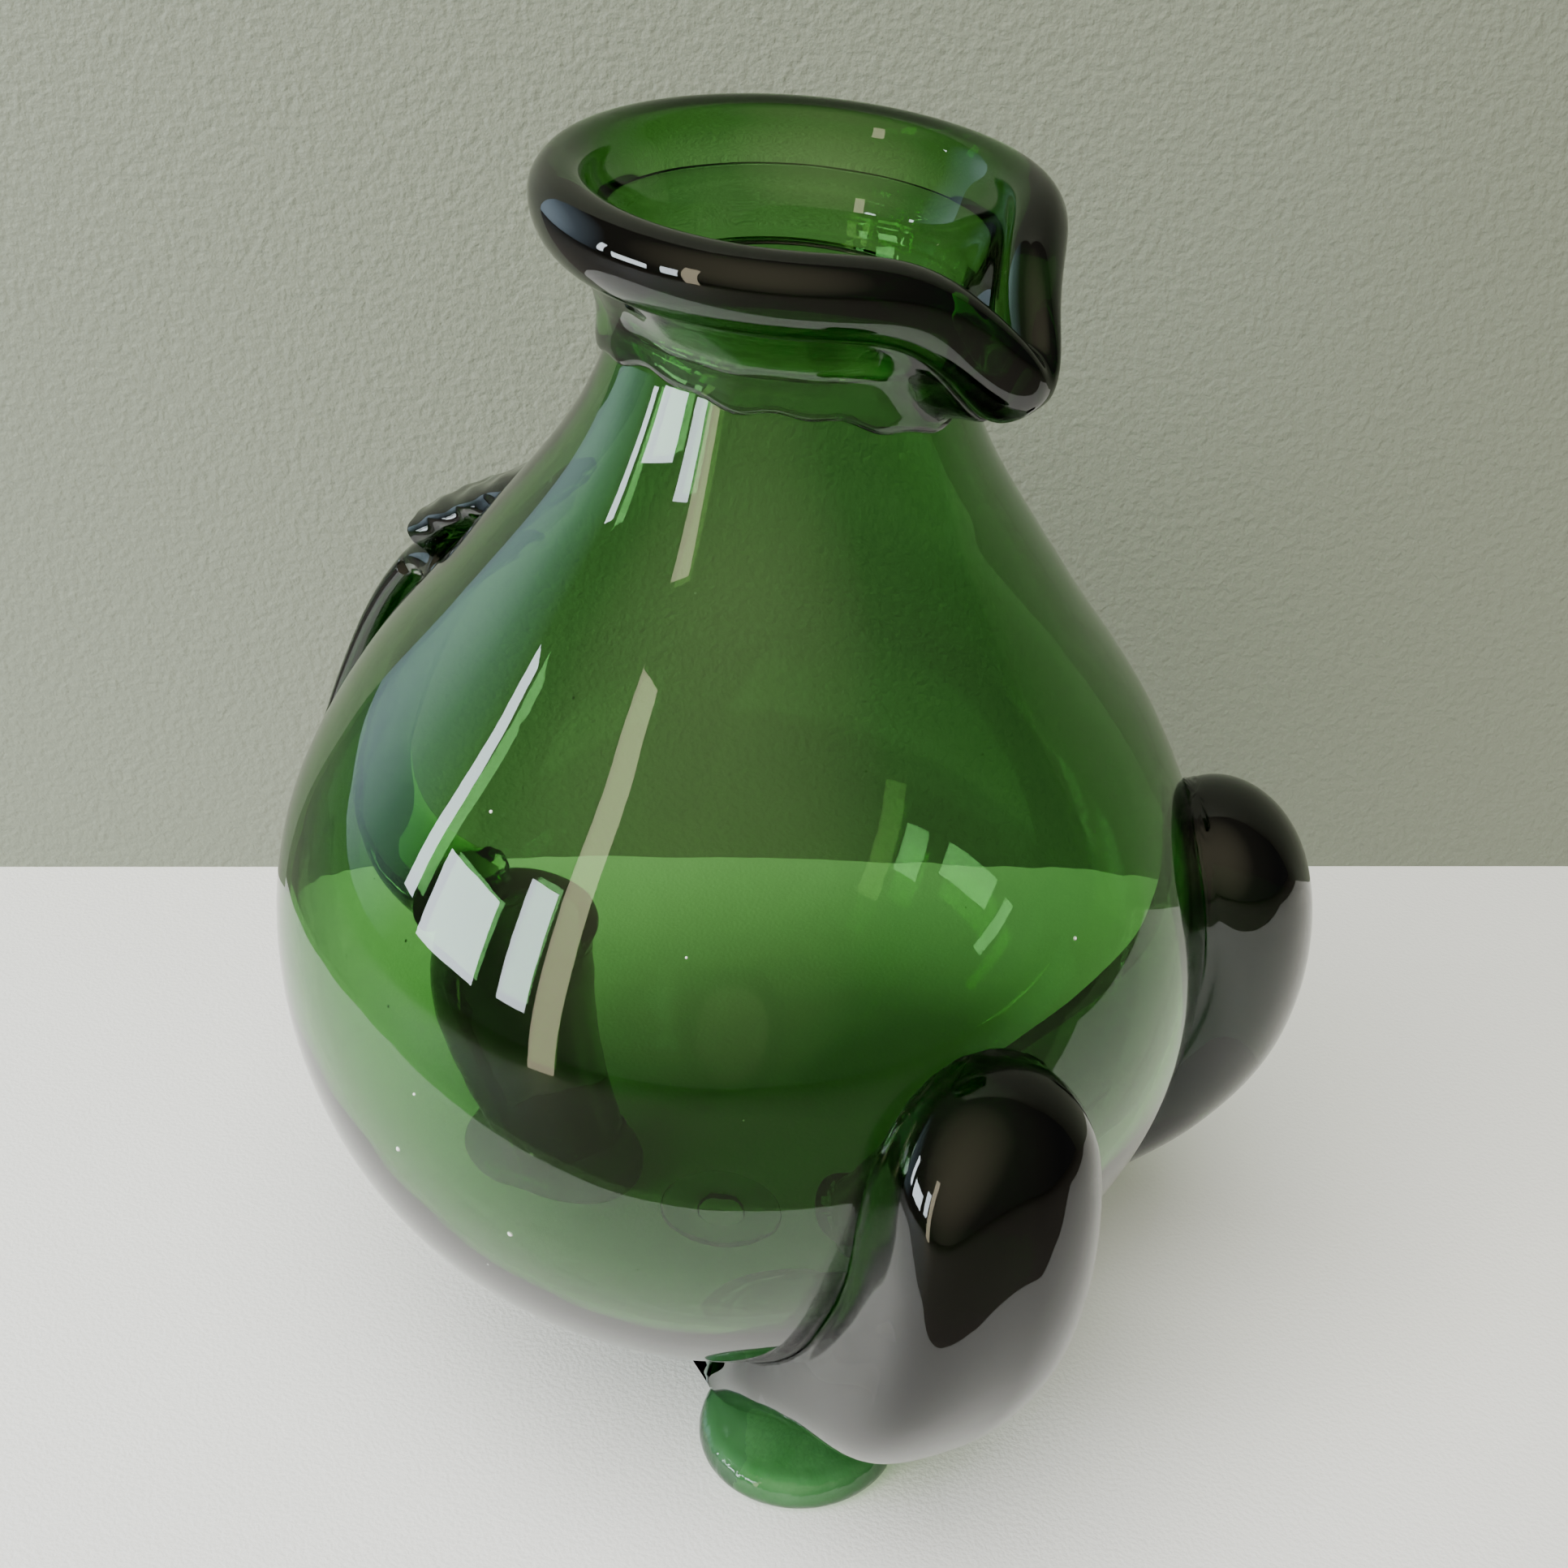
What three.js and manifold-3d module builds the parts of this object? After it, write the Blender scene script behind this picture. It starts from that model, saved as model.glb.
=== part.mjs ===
// Free-blown green glass jug: a round body on three applied legs, a thick pinched lip and a strap handle.
// Millimetres, +Z up. +X is the side that pours, the handle is at -X, and z = 0 is the table.
// Each piece of glass is its own mesh. Pieces that are fused on the real jug stand seamGap apart here.

import * as THREE from 'three';
import { mergeVertices } from 'three/addons/utils/BufferGeometryUtils.js';
import Module from 'manifold-3d';

const wasm = await Module();
wasm.setup();

// Body
const bellyRadius = 100;
const bellyHeight = 111;
const neckRadius = 32.3;
const neckHeight = 144;
const wallThickness = 3.6;
const baseThickness = 6;
const pontilRadius = 13.5;
const pontilDepth = 2.4;
const leanAngle = 5.3;
const seamGap = 0.3;

// Lip and spout
const lipCoil = 10.5;
const lipWidth = 20.3;
const bandDepth = 6.5;
const bandThickness = 4.8;
const bandFlare = 2.9;
const bandWave = 1.3;
const spoutReach = 7.6;
const spoutDip = 18.6;
const spoutKeel = 10;
const spoutPinch = 0.48;
const rimDrop = 2;

// Legs and feet
const legWidth = 42;
const legThickness = 34;
const footCircle = 54;
const footStretch = 8;
const footRadius = 22.5;
const footThickness = 9;

// Handle and thumb leaf
const strapWidth = 24;
const strapThickness = 8;
const handleReach = 22.9;
const foldEyeRadius = 1.7;
const leafWidth = 30;
const leafThickness = 12.8;

// Facets round the jug, round the lip, and round each applied piece
const facets = 52;
const lipFacets = 64;
const pieceFacets = 16;

const degrees = Math.PI / 180;

// Outer wall below the widest level, as shares of the belly radius, from the middle of the base up
const lowerWall = [[0, -0.965], [0.25, -0.925], [0.5, -0.8], [0.74, -0.6], [0.912, -0.35], [0.995, -0.05]];

// Outer wall above it, as shares of the way out from neck to belly and of the way up to the neck's end
const upperWall = [[0.963, 0.174], [0.767, 0.382], [0.451, 0.59], [0.145, 0.799], [0.016, 0.938], [0, 1]];

const wallCurve = new THREE.SplineCurve([
  ...lowerWall.map(([out, up]) => new THREE.Vector2(out * bellyRadius, up * bellyRadius)),
  ...upperWall.map(([out, up]) => new THREE.Vector2(
    THREE.MathUtils.lerp(neckRadius, bellyRadius, out), up * neckHeight)),
]);

const smooth = (low, high, value) => THREE.MathUtils.smoothstep(value, low, high);

// The jug's own frame has its axis on Z and z = 0 at the widest level. This leans it towards +X.
const leanMatrix = new THREE.Matrix4()
  .makeTranslation(0, 0, bellyHeight)
  .multiply(new THREE.Matrix4().makeRotationY(leanAngle * degrees));

// Point at a distance from the axis, an angle round it from +X and a height
function polar(radius, angle, height) {
  return new THREE.Vector3(
    radius * Math.cos(angle * degrees), radius * Math.sin(angle * degrees), height);
}

// Drops the triangles that a pole has folded flat
function welded(geometry) {
  geometry.deleteAttribute('normal');
  geometry.deleteAttribute('uv');
  const merged = mergeVertices(geometry, 1e-4);
  const corners = merged.index.array;
  const kept = [];
  for (let i = 0; i < corners.length; i += 3) {
    const [a, b, c] = [corners[i], corners[i + 1], corners[i + 2]];
    if (a !== b && b !== c && c !== a) {
      kept.push(a, b, c);
    }
  }
  merged.setIndex(kept);
  return merged;
}

function toSolid(geometry) {
  const clean = welded(geometry);
  return new wasm.Manifold(new wasm.Mesh({
    numProp: 3,
    vertProperties: new Float32Array(clean.attributes.position.array),
    triVerts: new Uint32Array(clean.index.array),
  }));
}

function toGeometry(solid) {
  const mesh = solid.getMesh();
  const geometry = new THREE.BufferGeometry();
  geometry.setAttribute('position', new THREE.BufferAttribute(mesh.vertProperties, 3));
  geometry.setIndex(new THREE.BufferAttribute(mesh.triVerts, 1));
  geometry.computeVertexNormals();
  return geometry;
}

// Skin over rows of points, each row a closed loop. It joins up like a ring or is capped at both ends.
function skin(rows, joinsUp) {
  const size = rows[0].length;
  const points = rows.flat();
  const corners = [];
  const steps = joinsUp ? rows.length : rows.length - 1;
  for (let i = 0; i < steps; i += 1) {
    const next = (i + 1) % rows.length;
    for (let j = 0; j < size; j += 1) {
      const across = (j + 1) % size;
      const [a, b] = [i * size + j, i * size + across];
      const [c, d] = [next * size + j, next * size + across];
      corners.push(a, b, d, a, d, c);
    }
  }
  if (!joinsUp) {
    const last = (rows.length - 1) * size;
    const startCentre = points.push(rowCentre(rows[0])) - 1;
    const endCentre = points.push(rowCentre(rows[rows.length - 1])) - 1;
    for (let j = 0; j < size; j += 1) {
      const across = (j + 1) % size;
      corners.push(startCentre, across, j);
      corners.push(endCentre, last + j, last + across);
    }
  }
  const geometry = new THREE.BufferGeometry().setFromPoints(points);
  geometry.setIndex(corners);
  return geometry;
}

function rowCentre(row) {
  const sum = new THREE.Vector3();
  row.forEach((point) => sum.add(point));
  return sum.divideScalar(row.length);
}

// Turns a profile of [radius, height] points about Z
function turned(profile) {
  const geometry = new THREE.LatheGeometry(profile.map(([r, z]) => new THREE.Vector2(r, z)), facets);
  return geometry.rotateX(Math.PI / 2);
}

// Radius and height at a share of the way up the outer wall, moved outwards by a distance
function offWall(share, distance) {
  const point = wallCurve.getPoint(share);
  const along = wallCurve.getTangent(share);
  return [point.x + along.y * distance, point.y - along.x * distance];
}

// Profile that follows the wall from the axis to the end of the neck
function wallProfile(steps, distanceAt) {
  const profile = [];
  for (let i = 0; i <= steps; i += 1) {
    const share = i / steps;
    const [radius, height] = offWall(share, distanceAt(share));
    profile.push([i === 0 ? 0 : radius, height]);
  }
  return profile;
}

function makeBody() {
  const thickness = (share) => THREE.MathUtils.lerp(baseThickness, wallThickness, smooth(0, 0.3, share));
  const outside = wallProfile(23, () => 0);
  const inside = wallProfile(19, (share) => -thickness(share)).reverse();
  outside[outside.length - 1] = [neckRadius, neckHeight];
  inside[0] = [neckRadius - wallThickness, neckHeight];
  return turned([...outside, ...inside]);
}

// Solid of the body's outside plus the seam gap, which the applied pieces are cut with
function makeEnvelope() {
  const outside = wallProfile(23, () => seamGap);
  outside.push([0, outside[outside.length - 1][1]]);
  return toSolid(turned(outside));
}

const envelope = makeEnvelope();

// Levels of the lip above the neck's end: its foot, its crest and the seam with the neck band
const lipFoot = neckHeight + seamGap;
const lipCrest = lipFoot + 2.5 * lipCoil;
const lipBore = neckRadius - wallThickness;
const bandTop = neckHeight + lipCoil;

// Half widths of the bells that shape the spout, in degrees round the jug
const [tipBell, keelBell, dipBell] = [17, 20, 21];

// Way in which the rim is lowest, apart from the spout, in degrees from +X
const rimDropAngle = 127;

// Bell curve round the spout: 1 at +X, fading over the given number of degrees
function bell(angle, width) {
  return Math.exp(-((angle / width) ** 2));
}

// Pulls a point of the lip outwards and down at the spout and pinches the sides together
// The keel share of a point lowers it further, which thickens the glass under the spout.
function pullSpout(radius, angle, height, keel = 0) {
  const lift = smooth(lipFoot, lipCrest - 0.4 * lipCoil, height);
  const tilt = 0.5 * rimDrop * (1 + Math.cos((angle - rimDropAngle) * degrees));
  const dip = (spoutDip * bell(angle, dipBell) + tilt) * lift + spoutKeel * keel * bell(angle, keelBell);
  const point = polar(radius + spoutReach * bell(angle, tipBell) * lift, angle, height - dip);
  point.y *= 1 - spoutPinch * bell(angle, dipBell) * lift;
  return point;
}

// Inner corner of the seam between lip and neck band. Where the keel brings it below the neck's end
// it lies against the neck, and above that it flares out.
function seamCorner(angle) {
  const flared = pullSpout(neckRadius + bandFlare, angle, bandTop, 1);
  const share = smooth(neckHeight, bandTop, flared.z);
  return { share, point: polar(neckRadius, angle, flared.z).lerp(flared, share) };
}

// Hoop of closed outlines round the neck, cut to the neck's wall
function hoop(outlineAt) {
  const rows = [];
  for (let i = 0; i < lipFacets; i += 1) {
    rows.push(outlineAt((i / lipFacets) * 360 - 180));
  }
  return toGeometry(toSolid(skin(rows, true)).subtract(envelope).transform(leanMatrix.elements));
}

// Coil laid on the end of the neck: it carries the neck on, flares and rolls over to a round crest
// Each outline point is a share of lipWidth, a share of lipCoil and a keel share.
function makeLip() {
  const outline = [
    [0, 0], [0.08, 0.72], [0.24, 1.4], [0.42, 1.95], [0.51, 2.3], [0.66, 2.47], [0.84, 2.38],
    [0.96, 2.1], [0.98, 1.78, 0.2], [0.93, 1.42, 0.5], [0.83, 1.1, 0.8], [0.7, 0.9, 1], [0.61, 1.05, 1],
  ];
  return hoop((angle) => {
    const row = outline.map(([out, up, keel]) => pullSpout(
      lipBore + out * lipWidth, angle, lipFoot + up * lipCoil, keel));
    const { share, point } = seamCorner(angle);
    const clear = seamGap * (1 - smooth(0, 0.1, share));
    row.push(point.add(polar(clear, angle, seamGap)));
    row.push(polar(neckRadius + clear, angle, lipFoot));
    return row;
  });
}

// Thin skirt of the coil, run down over the neck to an uneven lower edge
function makeNeckBand() {
  return hoop((angle) => {
    const { point } = seamCorner(angle);
    const wave = Math.sin(3 * angle * degrees) + 0.6 * Math.sin(7 * angle * degrees + 1);
    const low = neckHeight - bandDepth + bandWave * wave - 0.56 * spoutKeel * bell(angle, keelBell);
    const shoulder = Math.min(lipFoot, THREE.MathUtils.lerp(low, point.z, 0.5));
    const inside = neckRadius + seamGap;
    return [
      polar(inside, angle, low),
      polar(inside, angle, shoulder),
      point.clone().add(polar(seamGap, angle, 0)),
      point.clone().add(polar(seamGap + bandThickness, angle, 0)),
      polar(inside + 0.7 * bandThickness, angle, shoulder + 0.2 * bandThickness),
      polar(inside + 0.5 * bandThickness, angle, low + 0.25 * bandThickness),
    ];
  });
}

// Tube of oval rings along a curve, closer together at its start, which is round on most pieces
// The rings' wide way lies along the given side direction.
function sweep(curve, steps, sideAt, sizeAt) {
  const rows = [];
  for (let i = 0; i <= steps; i += 1) {
    const t = (i / steps) ** 1.3;
    const along = curve.getTangent(t);
    const out = new THREE.Vector3().crossVectors(along, sideAt(t)).normalize();
    const side = new THREE.Vector3().crossVectors(along, out).normalize();
    const [halfThickness, halfWidth] = sizeAt(t);
    const row = [];
    for (let j = 0; j < pieceFacets; j += 1) {
      const turn = (j / pieceFacets) * 2 * Math.PI;
      row.push(curve.getPoint(t)
        .addScaledVector(out, halfThickness * Math.cos(turn))
        .addScaledVector(side, halfWidth * Math.sin(turn)));
    }
    rows.push(row);
  }
  return skin(rows, false);
}

// Round start of a sweep: small at its tip, 1 once the piece has its full size
function roundEnd(t, length) {
  return Math.sqrt(Math.max(0.02, 1 - (1 - Math.min(t / length, 1)) ** 2));
}

// Centre lines of the legs: the share of the way up the wall, and the distance from it in leg thicknesses
const frontLegPath = [[0.592, 0.04], [0.51, 0.19], [0.433, 0.275], [0.369, 0.22], [0.291, 0.085], [0.211, 0.11]];
const rearLegPath = [[0.318, -0.056], [0.287, 0.26], [0.246, 0.418]];

// A leg turns by its twist on the way from its head to its toe. Angles are in degrees from +X,
// sag lowers its head by leg thicknesses, it stands at a share of the foot circle, and broad
// is its width as a share of legWidth.
const legs = [
  {
    name: 'right_front_leg', foot: 'right_front_foot', path: frontLegPath,
    head: -26.5, twist: -6, sag: 0.13, stand: 0.63, heel: -20, toe: -32, broad: 1,
  },
  {
    name: 'left_front_leg', foot: 'left_front_foot', path: frontLegPath,
    head: 36, twist: 12, sag: -0.02, stand: 0.63, heel: 36, toe: 48, broad: 1,
  },
  {
    name: 'rear_leg', foot: 'rear_foot', path: rearLegPath,
    head: 158, twist: 22, sag: 0, stand: 0.93, heel: 180, toe: 180, broad: 1.15,
  },
];
const rearLeg = legs[2];

function legCurve(leg) {
  const line = leg.path.map(([share, distance]) => offWall(share, distance * legThickness));
  line.push([leg.stand * footCircle, -bellyHeight]);
  const points = line.map(([r, z]) => {
    const twist = leg.twist * (Math.min(z, 0) / -bellyHeight);
    const sag = leg.sag * legThickness * smooth(-bellyHeight, 0.4 * bellyRadius, z);
    return polar(r, leg.head + twist, z - sag);
  });
  return new THREE.CatmullRomCurve3(points, false, 'centripetal');
}

// Drawn-out gob on the wall that grows downwards. Extra makes it larger all round.
function gobSolid(leg, extra) {
  const curve = legCurve(leg);
  const sideAt = (t) => {
    const point = curve.getPoint(t);
    return new THREE.Vector3(-point.y, point.x, 0).normalize();
  };
  const sizeAt = (t) => {
    const end = roundEnd(t, 0.13);
    const taper = THREE.MathUtils.lerp(0.5, 0.3, smooth(0.5, 1, t));
    return [taper * legThickness * end + extra, 0.5 * leg.broad * legWidth * end + extra];
  };
  return toSolid(sweep(curve, 18, sideAt, sizeAt));
}

// Applied leg, cut to the wall above and flat above its foot
function makeLeg(leg) {
  const standing = gobSolid(leg, 0).subtract(envelope).transform(leanMatrix.elements);
  return toGeometry(standing.subtract(boxBelow(footThickness + seamGap)));
}

// Block that takes away everything under a height
function boxBelow(height) {
  const size = 10 * bellyRadius;
  const block = new THREE.BoxGeometry(size, size, size);
  block.translate(0, 0, height - 0.5 * size);
  return toSolid(block);
}

// Tooled foot: a flat pad with a round rim that lies on the table, longer than it is wide
function makeFoot(leg) {
  const spot = (radius, angle) => polar(radius, angle, -bellyHeight).applyMatrix4(leanMatrix);
  const heel = spot(footCircle - 0.5 * footStretch, leg.heel);
  const toe = spot(footCircle + 0.5 * footStretch, leg.toe);
  const outline = footOutline(heel, toe);
  const centre = heel.clone().lerp(toe, 0.5);
  const rim = [[0.86, 0], [0.97, 0.22], [1, 0.45], [0.96, 0.78], [0.84, 0.96], [0.6, 1]];
  const rows = rim.map(([scale, height]) => outline.map((point) => new THREE.Vector3(
    THREE.MathUtils.lerp(centre.x, point.x, scale),
    THREE.MathUtils.lerp(centre.y, point.y, scale),
    height * footThickness)));
  return toGeometry(toSolid(skin(rows, false)).subtract(envelope.transform(leanMatrix.elements)));
}

// Outline of two half circles round the heel and the toe, joined by straight sides
function footOutline(heel, toe) {
  const heading = Math.atan2(toe.y - heel.y, toe.x - heel.x);
  const outline = [];
  const half = 12;
  for (let i = 0; i < 2 * half; i += 1) {
    const middle = i < half ? toe : heel;
    const radius = i < half ? footRadius : 0.86 * footRadius;
    const turn = heading - Math.PI / 2 + (i + 0.5) * (Math.PI / half);
    outline.push(new THREE.Vector3(
      middle.x + radius * Math.cos(turn), middle.y + radius * Math.sin(turn), 0));
  }
  return outline;
}

// Curve in the plane of the handle, at -X, through shares up the wall and distances from it
function handleCurve(path, scale) {
  const points = path.map(([share, distance]) => {
    const [r, z] = offWall(share, distance * scale);
    return new THREE.Vector3(-r, 0, z);
  });
  return new THREE.CatmullRomCurve3(points, false, 'centripetal');
}

// Strap from under the thumb leaf to the wall above the rear leg, with distances in shares of handleReach
const strapCurve = handleCurve([
  [0.66, -0.06], [0.64, 0.23], [0.615, 0.32], [0.58, 0.38], [0.539, 0.47],
  [0.492, 0.68], [0.448, 0.97], [0.412, 1], [0.381, 0.64], [0.348, -0.14],
], handleReach);

// Leaf from the shoulder to its tip, with distances in shares of leafThickness
const leafCurve = handleCurve([
  [0.758, -0.12], [0.724, 0.03], [0.692, 0.29], [0.667, 0.52], [0.653, 0.58],
], leafThickness);

const acrossHandle = () => new THREE.Vector3(0, 1, 0);

function makeStrap() {
  const sizeAt = (t) => {
    const spreading = 0.35 * (smooth(0.8, 1, t) + smooth(0.15, 0, t));
    return [0.5 * strapThickness * (1 + spreading), 0.5 * strapWidth * (1 + 0.6 * spreading)];
  };
  const free = toSolid(sweep(strapCurve, 26, acrossHandle, sizeAt))
    .subtract(leafSolid(seamGap))
    .subtract(leafSolid(0).translate([-seamGap, 0, -seamGap]))
    .subtract(gobSolid(rearLeg, seamGap))
    .subtract(foldEye());
  return toGeometry(free.subtract(envelope).transform(leanMatrix.elements));
}

// Small tunnel that the folded end of the strap leaves across its width
function foldEye() {
  const tunnel = new THREE.CylinderGeometry(foldEyeRadius, foldEyeRadius, 2 * strapWidth, 12);
  const place = strapCurve.getPoint(0.15);
  return toSolid(tunnel.translate(place.x, place.y, place.z));
}

function leafSolid(extra) {
  const sizeAt = (t) => {
    const end = roundEnd(t, 0.3) * roundEnd(1 - t, 0.12);
    const thickness = THREE.MathUtils.lerp(0.2, 0.5, t) * leafThickness;
    const width = THREE.MathUtils.lerp(0.37, 0.5, t) * leafWidth;
    return [thickness * end + extra, width * end + extra];
  };
  return toSolid(sweep(leafCurve, 12, acrossHandle, sizeAt));
}

// Thumb leaf: a pad pressed on the shoulder that thickens towards an overhang above the strap
function makeLeaf() {
  return toGeometry(leafSolid(0).subtract(envelope).transform(leanMatrix.elements));
}

// Pontil scar: the ring of glass that stays where the rod was cracked off under the base
function makePontil() {
  const base = wallCurve.getPoint(0).y;
  const inWall = base + pontilDepth;
  const ring = turned([
    [0.52 * pontilRadius, inWall], [0.6 * pontilRadius, base - pontilDepth],
    [0.9 * pontilRadius, base - pontilDepth], [pontilRadius, inWall], [0.52 * pontilRadius, inWall],
  ]);
  return toGeometry(toSolid(ring).subtract(envelope).transform(leanMatrix.elements));
}

const glass = (colour, roughness) => new THREE.MeshStandardMaterial({
  color: colour, roughness, metalness: 0, transparent: true, opacity: 0.6,
});

const jug = new THREE.Group();

function addPiece(name, geometry, material) {
  const mesh = new THREE.Mesh(geometry, material);
  mesh.name = name;
  jug.add(mesh);
}

const bodyGlass = glass(0x4f7a3e, 0.05);
const thickGlass = glass(0x1c2a14, 0.06);
const footGlass = glass(0x5f9a5c, 0.08);

addPiece('vessel_body', makeBody().applyMatrix4(leanMatrix), bodyGlass);
addPiece('lip_coil', makeLip(), thickGlass);
addPiece('neck_band', makeNeckBand(), bodyGlass);
legs.forEach((leg) => {
  addPiece(leg.name, makeLeg(leg), thickGlass);
  addPiece(leg.foot, makeFoot(leg), footGlass);
});
addPiece('handle_strap', makeStrap(), thickGlass);
addPiece('thumb_leaf', makeLeaf(), thickGlass);
addPiece('pontil_scar', makePontil(), bodyGlass);

// Origin at the middle of the bounding box, on the table
const bounds = new THREE.Box3().setFromObject(jug);
const middle = bounds.getCenter(new THREE.Vector3());
jug.position.set(-middle.x, -middle.y, -bounds.min.z);

export default jug;
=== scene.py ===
import math
import bmesh
import bpy
import numpy as np
from mathutils import Matrix, Vector


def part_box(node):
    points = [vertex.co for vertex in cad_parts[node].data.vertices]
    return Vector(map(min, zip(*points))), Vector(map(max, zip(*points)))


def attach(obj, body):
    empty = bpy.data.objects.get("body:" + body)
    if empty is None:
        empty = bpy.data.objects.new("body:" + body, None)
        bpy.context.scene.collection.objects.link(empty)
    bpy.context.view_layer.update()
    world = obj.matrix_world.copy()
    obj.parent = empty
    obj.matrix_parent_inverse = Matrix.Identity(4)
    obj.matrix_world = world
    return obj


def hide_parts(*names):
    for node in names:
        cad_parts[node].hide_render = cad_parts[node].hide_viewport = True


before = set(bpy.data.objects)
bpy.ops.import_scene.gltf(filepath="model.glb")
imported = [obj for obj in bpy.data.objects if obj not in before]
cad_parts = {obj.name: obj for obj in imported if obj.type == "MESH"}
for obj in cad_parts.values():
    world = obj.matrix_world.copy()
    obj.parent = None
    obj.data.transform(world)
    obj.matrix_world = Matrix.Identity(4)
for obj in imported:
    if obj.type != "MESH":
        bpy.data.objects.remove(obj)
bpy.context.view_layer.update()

# Outer wall, from the middle of the base to just under the widest level, as shares of the belly radius,
lowerWall = [(0, -0.965), (0.25, -0.925), (0.5, -0.8), (0.74, -0.6), (0.912, -0.35), (0.995, -0.05)]
# and up to the end of the neck, as shares of the way out from the neck and of the neck's height
upperWall = [(0.963, 0.174), (0.767, 0.382), (0.451, 0.59), (0.145, 0.799), (0.016, 0.938), (0, 1)]

# Sizes in mm. Heights are from the widest level, and the belly's own height is from the table.
jug = {
    "bellyRadius": 100, "bellyHeight": 111, "neckRadius": 32.3, "neckHeight": 144, "leanDegrees": 5.3,
    "wall": 3.6, "base": 9.0, "baseShare": 0.48,  # the wall thins from the base over a share of its way up
    "sink": 0.5,  # how far an applied piece reaches into the one that carries it
}
wallSteps = 1100


def smooth(low, high, value):
    t = np.clip((np.asarray(value, float) - low) / (high - low), 0, 1)
    return t * t * (3 - 2 * t)


def splinePoints(points, steps, closed=False):
    # even steps along a Catmull-Rom line through the points
    points = np.asarray(points, float)
    count = len(points)
    spans = count if closed else count - 1
    out = []
    for i in range(steps if closed else steps + 1):
        place = spans * i / steps
        k = min(int(place), spans - 1)
        w = place - k
        pick = (lambda j: points[j % count]) if closed else (lambda j: points[min(max(j, 0), count - 1)])
        a, b, c, d = pick(k - 1), pick(k), pick(k + 1), pick(k + 2)
        u, v = (c - a) / 2, (d - b) / 2
        out.append((2 * b - 2 * c + u + v) * w ** 3 + (3 * c - 3 * b - 2 * u - v) * w ** 2 + u * w + b)
    return np.array(out)


wallLine = splinePoints(
    [(r * jug["bellyRadius"], z * jug["bellyRadius"]) for r, z in lowerWall]
    + [(jug["neckRadius"] + r * (jug["bellyRadius"] - jug["neckRadius"]), z * jug["neckHeight"])
       for r, z in upperWall], wallSteps)
wallAlong = np.gradient(wallLine, axis=0)
wallAlong /= np.linalg.norm(wallAlong, axis=1)[:, None]
wallOut = np.stack([wallAlong[:, 1], -wallAlong[:, 0]], axis=1)


def offWall(share, distance):
    # radius and height at a share of the way up the wall, moved outwards
    place = np.clip(share, 0, 1) * (len(wallLine) - 1)
    index = np.arange(len(wallLine))
    onWall = [np.interp(place, index, wallLine[:, k]) for k in (0, 1)]
    out = [np.interp(place, index, wallOut[:, k]) for k in (0, 1)]
    return onWall[0] + out[0] * distance, onWall[1] + out[1] * distance


def nearWall(radius, height):
    # share of the way up and distance outwards of points near the wall
    points = np.stack([radius, height], axis=1)
    nearest = np.empty(len(points), int)
    batch = 2000
    for start in range(0, len(points), batch):
        part = points[start:start + batch]
        gap = ((part[:, None] - wallLine[None]) ** 2).sum(axis=2)
        nearest[start:start + batch] = gap.argmin(axis=1)
    distance = ((points - wallLine[nearest]) * wallOut[nearest]).sum(axis=1)
    return nearest / (len(wallLine) - 1), distance


def wallRadius(height):
    return float(np.interp(height, wallLine[:, 1], wallLine[:, 0]))


lean = math.radians(jug["leanDegrees"])
leanTurn = np.array([
    [math.cos(lean), 0, math.sin(lean)], [0, 1, 0], [-math.sin(lean), 0, math.cos(lean)]])
axisX = 0.0  # where the jug's axis crosses the widest level, set from the CAD body below


def standing(points):
    # from the jug's own leaning frame to the part's frame, both in mm
    return np.asarray(points, float) @ leanTurn.T + np.array([axisX, 0, jug["bellyHeight"]])


bodyLow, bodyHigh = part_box("vessel_body")
ringTurn = np.linspace(0, 2 * math.pi, 721)
beltX = [standing(np.stack([r * np.cos(ringTurn), r * np.sin(ringTurn), 0 * ringTurn + z], axis=1))[:, 0]
         for r, z in wallLine[::20]]
bodyMiddle = 500 * (bodyLow.x + bodyHigh.x)  # half their sum, from m to mm
axisX = bodyMiddle - (np.min(beltX) + np.max(beltX)) / 2
print("jug axis at x", round(axisX, 2), "mm")


def polar(radius, degrees, height):
    turn = np.radians(degrees)
    return np.stack(np.broadcast_arrays(radius * np.cos(turn), radius * np.sin(turn), height), axis=-1)


def addObject(name, data):
    thing = bpy.data.objects.new(name, data)
    bpy.context.scene.collection.objects.link(thing)
    return thing


def meshPiece(name, points, faces, material, node, deep=None):
    # a smooth piece from points in mm in the part's frame, with its doubles merged and faces outwards,
    # deep says for each point how little light the glass lets through there
    mesh = bpy.data.meshes.new(name)
    mesh.from_pydata((points / 1000).tolist(), [], faces)
    if deep is not None:
        depth = mesh.attributes.new("deep", "FLOAT", "POINT")
        depth.data.foreach_set("value", np.asarray(deep, np.float32))
    shape = bmesh.new()
    shape.from_mesh(mesh)
    bmesh.ops.remove_doubles(shape, verts=shape.verts, dist=1e-6)
    bmesh.ops.recalc_face_normals(shape, faces=shape.faces)
    shape.to_mesh(mesh)
    shape.free()
    mesh.shade_smooth()
    mesh.materials.append(material)
    piece = addObject(name, mesh)
    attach(piece, "root")
    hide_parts(node)
    return piece


def gridFaces(rows, columns, rowsClose=False):
    # quads between closed loops of points, and from the last loop to the first where rowsClose
    faces = []
    for i in range(rows if rowsClose else rows - 1):
        for j in range(columns):
            a, b = i * columns + j, i * columns + (j + 1) % columns
            c, d = ((i + 1) % rows) * columns + j, ((i + 1) % rows) * columns + (j + 1) % columns
            faces.append((a, b, d, c))
    return faces


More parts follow.
